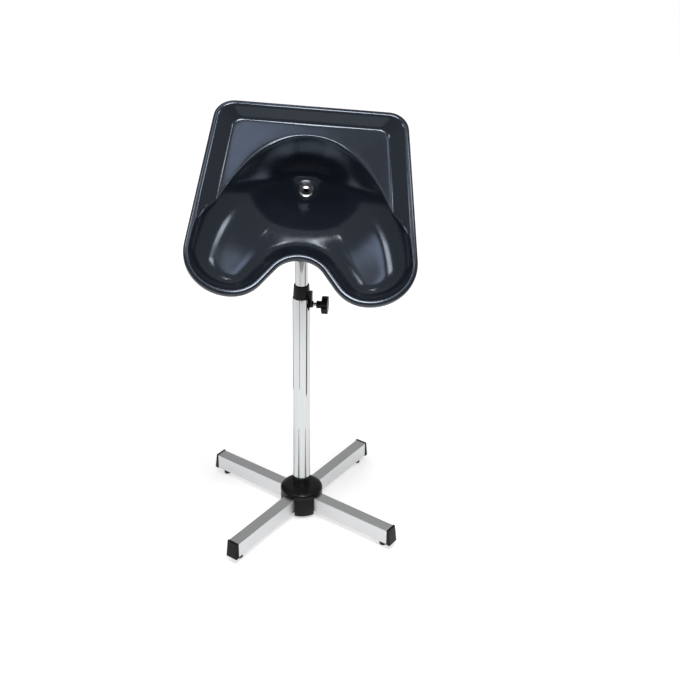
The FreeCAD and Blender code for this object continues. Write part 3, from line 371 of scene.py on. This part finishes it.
# Baked powder coat: a satin black with a fine pebbled grain.
painted, tree, shader, coords = start_material("black_powder_coat")
mottle(tree, shader, coords, size_mm=12.0, colours=("#0b0b0c", "#121213"), roughness=(0.4, 0.52))
grain(tree, shader, coords, size_mm=0.7, height_mm=0.03)
softened("yoke", painted, "yoke", edge_mm=0.4)
softened("thrust_washers", acetal, "yoke", edge_mm=0.15)
softened("friction_disc", acetal, "bowl", edge_mm=0.2)
tilted = Matrix.Translation((0, 0, pivot_height * MM)) @ Matrix.Rotation(rest_tilt, 4, "X")
knob = star_knob(hub_radius=8.6, hub_length=9.0, head_radius=15.0, head_length=12.0, scallop=4.0, edge=3.0)
on_yoke = tilted @ Matrix.Translation((knob_seat * MM, 0, 0)) @ along_x
bmesh.ops.transform(knob, matrix=on_yoke, verts=knob.verts)
to_piece("tilt_knob_star", knob, black_plastic, "tilt_knob", "tilt_knob", smooth_below=40)

# Bowl
# One shell moulded from black ABS: a rolled rim, a shallow tray with a flat rear deck, and a kidney-shaped
# basin that runs down to the drain. Glossy and faintly blue, with slow mould waves. It is a grid drawn down
# from the rim, in mm: u to the right, v to the rear, depth below the crest. A ribbed boss takes its bolt.
rest_turn = math.radians(-6.65)
turned = tilted @ Matrix.Rotation(rest_turn, 4, "Z")
rim_height, shell_wall = 120.0, 3.6
# Plan of the rim's crest: a lobe at each side of the neck notch, and sides that draw in to the rear.
half_width, lobe_front, notch_front, rear, corner_radius = 231.0, -180.0, -87.5, 276.0, 38.0
lobe_outer, lobe_inner = 94.0, 70.0
flare, flank = math.radians(4.7), math.radians(54.0)
lobe_u = half_width - lobe_outer
outer_v, inner_v = lobe_front + lobe_outer, lobe_front + lobe_inner
foot_u = lobe_u - lobe_inner * math.sin(flank)
foot_v = inner_v - lobe_inner * math.cos(flank)
notch_radius = (math.sin(flank) * foot_u + math.cos(flank) * (foot_v - notch_front)) / (1 - math.cos(flank))
# The basin's mouth, and how far its wall runs inwards at the sides and at the rear.
mouth_inset, mouth_rear, mouth_curve, mouth_half = 3.0, 222.0, 0.0043, 186.8
wall_run, rear_run = 62.0, 32.0
# The tray around the mouth, from the inner edge of the crest down to the deck.
crest_inset, tray_inset, tray_depth = 0.6, 4.5, 25.0
deck_inset, deck_rear, deck_corner = 34.0, 252.0, 25.0
# The floor, which falls to a pad with the drain's hole.
basin_depth, drain_v, drain_pad, drain_hole, pad_seat = 150.0, 159.0, 22.0, 11.2, 151.0
floor_rise, floor_reach, floor_power = 108.0, 105.0, 1.5


def arc(u, v, radius, start, end, steps):
    """Points along an arc, its first end left out."""
    turns = [start + (end - start) * (k + 1) / steps for k in range(steps)]
    return [(u + radius * math.cos(a), v + radius * math.sin(a)) for a in turns]


def mix(first, second, share):
    """Point part of the way between two."""
    return tuple(a + (b - a) * share for a, b in zip(first, second))


def run(start, end, steps):
    """Points along a line, its first end left out."""
    return [mix(start, end, (k + 1) / steps) for k in range(steps)]


def rim_outline(offset, rear_v=rear, corner=corner_radius):
    """Right half of the rim's plan at an offset outside the crest, from rear middle to notch middle."""
    inset = lobe_outer - corner
    base = (lobe_u + inset * math.cos(flare), outer_v + inset * math.sin(flare))
    slide = (rear_v - corner - base[1]) / math.cos(flare)
    centre = (base[0] - slide * math.sin(flare), rear_v - corner)
    points = [(0.0, rear_v + offset)]
    points += run(points[0], (centre[0], rear_v + offset), steps=18)
    points += arc(*centre, corner + offset, math.pi / 2, flare, steps=10)
    reach = lobe_outer + offset
    lobe_start = (lobe_u + reach * math.cos(flare), outer_v + reach * math.sin(flare))
    points += run(points[-1], lobe_start, steps=24)
    points += arc(lobe_u, outer_v, reach, flare, -math.pi / 2, steps=18)
    points += arc(lobe_u, inner_v, lobe_inner + offset, -math.pi / 2, -math.pi / 2 - flank, steps=10)
    arch = notch_radius - offset
    notch_v = notch_front - notch_radius
    flank_end = (arch * math.sin(flank), notch_v + arch * math.cos(flank))
    points += run(points[-1], flank_end, steps=6)
    points += arc(0.0, notch_v, arch, math.pi / 2 - flank, math.pi / 2, steps=10)
    return points


def plan(share):
    """Right half of the basin's plan, from its mouth (0) to the foot of its wall (1).

    Its rear curve takes the rim points up to rear_last, and a bend leads over to the sides at side_first.
    """
    rear_last, side_first = 41, 53
    sides = rim_outline(-mouth_inset - wall_run * share)
    points = []
    for step in range(rear_last + 1):
        sideways = step / rear_last
        u = mouth_half * sideways
        slope = 2 * mouth_curve * u
        shift = share * (rear_run + (wall_run - rear_run) * sideways ** 2) / math.hypot(slope, 1)
        points.append((u - slope * shift, mouth_rear - mouth_curve * u * u - shift))
    end, start = points[-1], sides[side_first]
    back = (end[1] - start[1] - slope * (start[0] - end[0])) / (math.cos(flare) - slope * math.sin(flare))
    bend = (start[0] - back * math.sin(flare), start[1] + back * math.cos(flare))
    for step in range(1, side_first - rear_last):
        way = step / (side_first - rear_last)
        points.append(mix(mix(end, bend, way), mix(bend, start, way), way))
    return points + sides[side_first:]


def floor_depth(u, v):
    """Depth of the basin's floor: lowest at the drain, levelling out far from it."""
    away = max(math.hypot(u, v - drain_v) - drain_pad, 0.0)
    return basin_depth - floor_rise * (1 - math.exp(-(away / floor_reach) ** floor_power))


wall_steps, wall_start = 45, math.radians(35.0)
wall_loops = []
for step in range(wall_steps + 1):
    angle = wall_start + (math.pi / 2 - wall_start) * step / wall_steps
    sunk = (math.sin(angle) - math.sin(wall_start)) / (1 - math.sin(wall_start))
    around = plan(1 - math.cos(angle) / math.cos(wall_start))
    wall_loops.append([(u, v, floor_depth(u, v) * sunk) for u, v in around])
crest_inner = rim_outline(-crest_inset)
tray_top = rim_outline(-tray_inset)
deck_edge = rim_outline(-deck_inset, deck_rear + deck_inset, deck_corner + deck_inset)
rim_count = len(tray_top)


def wall_at(index, way):
    """Point part of the way down the basin's wall, 0 to 1."""
    step = min(int(way * wall_steps), wall_steps - 1)
    return mix(wall_loops[step][index], wall_loops[step + 1][index], way * wall_steps - step)


def way_to(index, depth):
    """How far down the basin's wall a depth is."""
    step = next(k for k in range(wall_steps) if wall_loops[k + 1][index][2] >= depth)
    above, below = wall_loops[step][index][2], wall_loops[step + 1][index][2]
    return (step + (depth - above) / (below - above)) / wall_steps


def tray_at(index, depth):
    """Point on the tray's wall at a depth."""
    return (*mix(tray_top[index], deck_edge[index], depth / tray_depth), depth)


def tray_meets(index):
    """Depth down to which the tray's wall stands outside the basin's."""
    top, foot = tray_top[index], deck_edge[index]
    inward = (foot[0] - top[0], foot[1] - top[1])
    steps = 50
    for step in range(steps):
        depth = tray_depth * step / steps
        wall = wall_at(index, way_to(index, depth))
        reach = (wall[0] - top[0]) * inward[0] + (wall[1] - top[1]) * inward[1]
        if reach <= (inward[0] ** 2 + inward[1] ** 2) * step / steps:
            return depth
    return tray_depth


def rounded(start, corner, end):
    """Points of a soft bend past a corner, its first end left out."""
    return [mix(mix(start, corner, way), mix(corner, end, way), way) for way in (0.25, 0.5, 0.75, 1.0)]


def down_the_bowl(index):
    """Points of the shell's upper face at one rim point, from the rim's inner edge to the drain.

    The shares say how far along the tray's wall, the deck, the basin's wall and its floor the points lie.
    """
    tray_fade_start, tray_fade, least_edge = 2.0, 5.0, 6.0
    mouth_round, deck_round, most_deck_round = 3.0, 7.0, 0.3
    crest_bend, tray_shares, deck_shares = 0.16, (0.3, 0.55, 0.8), (0.5, 0.92, 1.0)
    wall_shares = (0.05, 0.13, 0.23, 0.34, 0.45, 0.56, 0.67, 0.78, 0.89, 1.0)
    floor_shares = (0.1, 0.21, 0.33, 0.46, 0.6, 0.73, 0.85, 0.94, 1.0)
    floor_end = drain_pad + 4.0
    pad_steps = ((22.8, basin_depth - 0.1), (22.0, basin_depth + 0.2), (21.6, pad_seat),
                 (20.0, pad_seat), (drain_hole, pad_seat))
    meets = tray_meets(index)
    trayness = min(max((meets - tray_fade_start) / tray_fade, 0.0), 1.0)
    edge_depth = max(meets, least_edge)

    def upper(depth):
        """Point on whichever wall stands here, tray or basin."""
        return mix(wall_at(index, way_to(index, depth)), tray_at(index, depth), trayness)

    points = rounded((*crest_inner[index], 0.0), upper(0.0), upper(edge_depth * crest_bend))
    points += [upper(edge_depth * share) for share in tray_shares]
    tray_foot = upper(edge_depth)
    width = math.dist(tray_foot, wall_at(index, way_to(index, edge_depth)))
    mouth_way = way_to(index, edge_depth + mouth_round / (1 + width / mouth_round))
    mouth = wall_at(index, mouth_way)
    on_deck = mix(tray_foot, mouth, min(most_deck_round, deck_round / max(width, 1.0)))
    points += rounded(points[-1], tray_foot, on_deck)
    points += [mix(on_deck, mouth, share) for share in deck_shares]
    points += [wall_at(index, mouth_way + (1 - mouth_way) * share) for share in wall_shares]
    foot = points[-1]
    bearing = math.atan2(foot[0], drain_v - foot[1])
    pad_edge = (floor_end * math.sin(bearing), drain_v - floor_end * math.cos(bearing))
    for share in floor_shares:
        u, v = mix(foot[:2], pad_edge, share)
        points.append((u, v, floor_depth(u, v)))
    for radius, depth in pad_steps:
        points.append((radius * math.sin(bearing), drain_v - radius * math.cos(bearing), depth))
    return points


# The rolled rim: a lip that hangs outside the crest, and a round from its top to the crest.
lip, lip_drop, lip_middle, lip_round, lip_steps = 6.95, 14.0, 9.0, 5.0, 4
loops = [(rim_outline(lip), depth) for depth in (lip_drop, lip_middle, lip_round)]
for step in range(1, lip_steps + 1):
    angle = math.pi / 2 * step / lip_steps
    loops.append((rim_outline(lip - lip_round * (1 - math.cos(angle))), lip_round * (1 - math.sin(angle))))
loops.append((crest_inner, 0.0))
columns = []
for index in range(rim_count):
    columns.append([(*points[index], depth) for points, depth in loops] + down_the_bowl(index))
stations = len(columns[0])

shell = bmesh.new()
bmesh.ops.create_grid(shell, x_segments=rim_count - 1, y_segments=stations - 1, size=1.0)
for vert in shell.verts:
    column = columns[round((vert.co.x + 1) / 2 * (rim_count - 1))]
    u, v, depth = column[round((vert.co.y + 1) / 2 * (stations - 1))]
    vert.co = (u * MM, v * MM, (rim_height - depth) * MM)
bmesh.ops.mirror(shell, geom=[*shell.verts, *shell.edges, *shell.faces], axis="X", merge_dist=0.01 * MM)
bmesh.ops.recalc_face_normals(shell, faces=shell.faces)
lowest = min(shell.faces, key=lambda face: face.calc_center_median().z)
if lowest.normal.z < 0:
    bmesh.ops.reverse_faces(shell, faces=shell.faces)
bmesh.ops.transform(shell, matrix=turned, verts=shell.verts)

abs_gloss, tree, shader, coords = start_material("moulded_black_abs_gloss", ior=1.54)
shader.inputs["Specular Tint"].default_value = linear("#e0ebfb")
mottle(tree, shader, coords, size_mm=90.0, colours=("#0f131a", "#141921"), roughness=(0.13, 0.18))
grain(tree, shader, coords, size_mm=45.0, height_mm=0.25, detail=1.0)
bowl = to_piece("bowl_shell", shell, abs_gloss, "bowl", "bowl", smooth_below=80)
wall = bowl.modifiers.new("wall", "SOLIDIFY")
wall.thickness = shell_wall * MM
wall.offset = -1.0
smooth = bowl.modifiers.new("smooth", "SUBSURF")
smooth.levels = 1
smooth.render_levels = 1

# The boss below the floor: an outer ring, a core for the bolt's insert, and ribs between them.
boss_low, boss_high = rim_height - 95.0, rim_height - 40.0
boss_inner, boss_outer, core_inner, core_outer = 36.0, 40.0, 7.0, 11.0
rib_count, rib_inner, rib_outer, rib_thickness = 8, 10.5, 36.5, 4.0


def under_floor(name, shape):
    """Part of the boss: its top brought up into the wall of the basin's floor, then set in place."""
    cover = 1.0
    for vert in shape.verts:
        if vert.co.z > (boss_low + boss_high) / 2 * MM:
            vert.co.z = (rim_height - floor_depth(vert.co.x / MM, vert.co.y / MM) - cover) * MM
    bmesh.ops.transform(shape, matrix=turned, verts=shape.verts)
    bmesh.ops.recalc_face_normals(shape, faces=shape.faces)
    to_piece(name, shape, abs_gloss, "bowl", "bowl")


under_floor("bowl_boss", lathe(ring(boss_inner, boss_outer, boss_low, boss_high), steps=72))
under_floor("bowl_boss_core", lathe(ring(core_inner, core_outer, boss_low, boss_high), steps=48))
ribs = bmesh.new()
rib_middle = Matrix.Translation(((rib_inner + rib_outer) / 2 * MM, 0, (boss_low + boss_high) / 2 * MM))
rib_length, rib_height = rib_outer - rib_inner, boss_high - boss_low
rib_size = Matrix.Diagonal((rib_length * MM, rib_thickness * MM, rib_height * MM, 1.0))
for index in range(rib_count):
    spoke = Matrix.Rotation(2 * math.pi * index / rib_count, 4, "Z")
    bmesh.ops.create_cube(ribs, size=1.0, matrix=spoke @ rib_middle @ rib_size)
under_floor("bowl_boss_ribs", ribs)

# The thicker pad below the drain's hole. Its outline is in (radius, depth below the crest).
pad_radius, pad_brim, pad_well = 26.0, 24.0, 22.5
pad_top, pad_bottom, pad_floor = 149.5, 156.0, 152.0
pad = lathe([(drain_hole, pad_bottom), (pad_radius, pad_bottom), (pad_radius, pad_top),
             (pad_brim, pad_top), (pad_well, pad_floor), (drain_hole, pad_floor)], steps=72)
depth_down = Matrix.Diagonal((1, 1, -1, 1))
at_drain = turned @ Matrix.Translation((0, drain_v * MM, rim_height * MM))
bmesh.ops.transform(pad, matrix=at_drain @ depth_down, verts=pad.verts)
bmesh.ops.recalc_face_normals(pad, faces=pad.faces)
to_piece("bowl_drain_pad", pad, abs_gloss, "bowl", "bowl")

# Drain fitting
# A flange with a barbed spigot, turned in one piece from brass and chromed, goes through the basin's floor.
# Bright outside. Its bore is dull unplated brass, painted near-black as the shade inside the hole. A rubber
# gasket and a moulded nut hold it from below.
seat = rim_height - pad_seat
bore, shank, spigot, barb_radius, bore_edge = 5.0, 11.0, 9.5, 10.3, 5.7
flange = ((bore, 2.0), (6.0, 2.5), (13.5, 2.5), (15.2, 2.4), (16.4, 1.9), (17.0, 1.0), (17.0, 0.0))
spigot_top, spigot_length, barbs, barb_rise = seat - 24.0, 26.0, 3, 0.4
barb_pitch = spigot_length / barbs
drain_outline = [(radius, seat + above) for radius, above in flange]
drain_outline += [(shank, seat), (shank, spigot_top), (spigot, spigot_top)]
for index in range(barbs):
    start = spigot_top - index * barb_pitch
    step_down = start - barb_rise * barb_pitch
    drain_outline += [(spigot, step_down), (barb_radius, step_down), (spigot, start - barb_pitch)]
drain_outline.append((bore, spigot_top - spigot_length))
drain = lathe(drain_outline, steps=72)
# Faces inside the bore take the second material, whose near-black colour is painted shade for the hole.
for face in drain.faces:
    middle = face.calc_center_median()
    face.material_index = 1 if math.hypot(middle.x, middle.y) < bore_edge * MM else 0
bmesh.ops.transform(drain, matrix=turned @ Matrix.Translation((0, drain_v * MM, 0)), verts=drain.verts)
fitting = to_piece("drain_flange_and_spigot", drain, chrome, "bowl", "drain_fitting")
# Dull unplated brass for the bore; its near-black colour is painted shade inside the hole.
dull_bore_painted_shade, tree, shader, coords = start_material("dull_brass_bore_painted_shade", metallic=0.6)
mottle(tree, shader, coords, size_mm=2.0, colours=("#0d0c0a", "#17150f"), roughness=(0.6, 0.8))
fitting.data.materials.append(dull_bore_painted_shade)
softened("drain_gasket", rubber, "bowl", edge_mm=0.2)
softened("drain_nut", black_plastic, "bowl", edge_mm=0.5)

# Studio
# A pale floor in a white room with a cool glow in its ceiling, one softbox high at the front, one at each
# side and a small one behind, and black felt cards that only reflections see. Floor and room are white to
# the camera, and the floor keeps the shadow. Sizes here are in metres.
floor_half, floor_glow = 8.0, 0.45
room_light, room_mirrored = 0.8, 0.4
glow_mirrored, glow_inner, glow_outer = 4.2, 0.05, 0.16
glow_toward = Vector((-0.06, -0.03, 1.0)).normalized()
white = (1, 1, 1, 1)


def stage_sheet(name, material, place):
    """Flat sheet of the studio: a square from -1 to 1, set in place."""
    shape = bmesh.new()
    bmesh.ops.create_grid(shape, x_segments=1, y_segments=1, size=1.0, matrix=place)
    mesh = bpy.data.meshes.new(name)
    shape.to_mesh(mesh)
    shape.free()
    mesh.materials.append(material)
    sheet = bpy.data.objects.new(name, mesh)
    bpy.context.scene.collection.objects.link(sheet)
    return sheet


floor_white, tree, shader, coords = start_material("white_floor")
mottle(tree, shader, coords, size_mm=400.0, colours=("#d6d6d6", "#d9d9d9"), roughness=(0.85, 0.95))
rays = add_node(tree, "ShaderNodeLightPath", {}, {}).outputs
seen = add_node(tree, "ShaderNodeMath", {"operation": "MAXIMUM"},
                {0: rays["Is Camera Ray"], 1: rays["Is Glossy Ray"]})
lit = add_node(tree, "ShaderNodeMath", {"operation": "MULTIPLY"}, {0: seen.outputs[0], 1: floor_glow})
shader.inputs["Emission Color"].default_value = white
tree.links.new(lit.outputs[0], shader.inputs["Emission Strength"])
stage_sheet("floor", floor_white, Matrix.Scale(floor_half, 4))

world = bpy.data.worlds.new("studio")
bpy.context.scene.world = world
world.use_nodes = True
tree = world.node_tree
backdrop = tree.nodes["Background"]
rays = add_node(tree, "ShaderNodeLightPath", {}, {}).outputs
direction = add_node(tree, "ShaderNodeTexCoord", {}, {}).outputs["Generated"]
near = add_node(tree, "ShaderNodeVectorMath", {"operation": "DOT_PRODUCT"}, {0: direction, 1: glow_toward})
glow = add_node(tree, "ShaderNodeMapRange", {"interpolation_type": "SMOOTHSTEP"},
                {"Value": near.outputs["Value"], "From Min": math.cos(glow_outer),
                 "From Max": math.cos(glow_inner)}).outputs[0]
mirrored = add_node(tree, "ShaderNodeMix", {}, {0: glow, 2: room_mirrored, 3: glow_mirrored}).outputs[0]
level = add_node(tree, "ShaderNodeMix", {}, {0: rays["Is Glossy Ray"], 2: room_light, 3: mirrored}).outputs[0]
level = add_node(tree, "ShaderNodeMix", {}, {0: rays["Is Camera Ray"], 2: level, 3: 1.0}).outputs[0]
cool = add_node(tree, "ShaderNodeMix", {"data_type": "RGBA"}, {0: glow, 6: white, 7: linear("#d8e5ff")})
tree.links.new(cool.outputs[2], backdrop.inputs["Color"])
tree.links.new(level, backdrop.inputs["Strength"])


def softbox(name, place, target, width, height, power):
    """Area light that faces a point."""
    lamp = bpy.data.lights.new(name, "AREA")
    lamp.shape = "RECTANGLE"
    lamp.size = width
    lamp.size_y = height
    lamp.energy = power
    light = bpy.data.objects.new(name, lamp)
    light.location = place
    light.rotation_euler = (Vector(target) - Vector(place)).to_track_quat("-Z", "Y").to_euler()
    bpy.context.scene.collection.objects.link(light)


softbox("rim_light", (0.13, -0.95, 2.83), target=(0, 0, 0.8), width=0.6, height=0.6, power=30)
for name, side in (("right", 1), ("left", -1)):
    softbox(name, (0.85 * side, -0.2, 2.65), target=(0, 0, 0.85), width=0.3, height=0.5, power=5)
softbox("back_high", (0.2, 1.0, 2.9), target=(0.02, -0.06, 0.72), width=0.16, height=0.1, power=1.2)

# Black felt: a dead black without a sheen.
card_half_height = 0.45
card_black, tree, shader, coords = start_material("black_felt")
mottle(tree, shader, coords, size_mm=30.0, colours=("#050505", "#0a0a0a"), roughness=(0.9, 1.0))
for name, bearing, away, width in (("card_right", 62, 0.6, 0.16), ("card_left", -140, 0.6, 0.2),
                                   ("card_middle", -28, 0.7, 0.06)):
    around = Matrix.Rotation(math.radians(bearing), 4, "Z")
    on_floor = Matrix.Translation((0, -away, card_half_height))
    upright = Matrix.Rotation(math.radians(90), 4, "X")
    card_size = Matrix.Diagonal((width / 2, card_half_height, 1, 1))
    card = stage_sheet(name, card_black, around @ on_floor @ upright @ card_size)
    card.visible_camera = False
    card.visible_diffuse = False
    card.visible_shadow = False

# Camera
# Where the photograph was taken from, found from the feet, the pole and the rim. It looks down and slightly
# to the right, and its frame is shifted off the lens's middle.
looks_down, looks_right = math.radians(25.5), math.radians(3.31)
camera_data = bpy.data.cameras.new("camera")
camera_data.sensor_width = 36.0
camera_data.lens = 57.97
camera_data.shift_x = 0.0566
camera_data.shift_y = -0.0753
camera = bpy.data.objects.new("camera", camera_data)
camera.location = (-0.125, -2.159, 1.613)
camera.rotation_euler = (math.pi / 2 - looks_down, 0, -looks_right)
bpy.context.scene.collection.objects.link(camera)
bpy.context.scene.camera = camera
bpy.context.scene.view_settings.view_transform = "Standard"
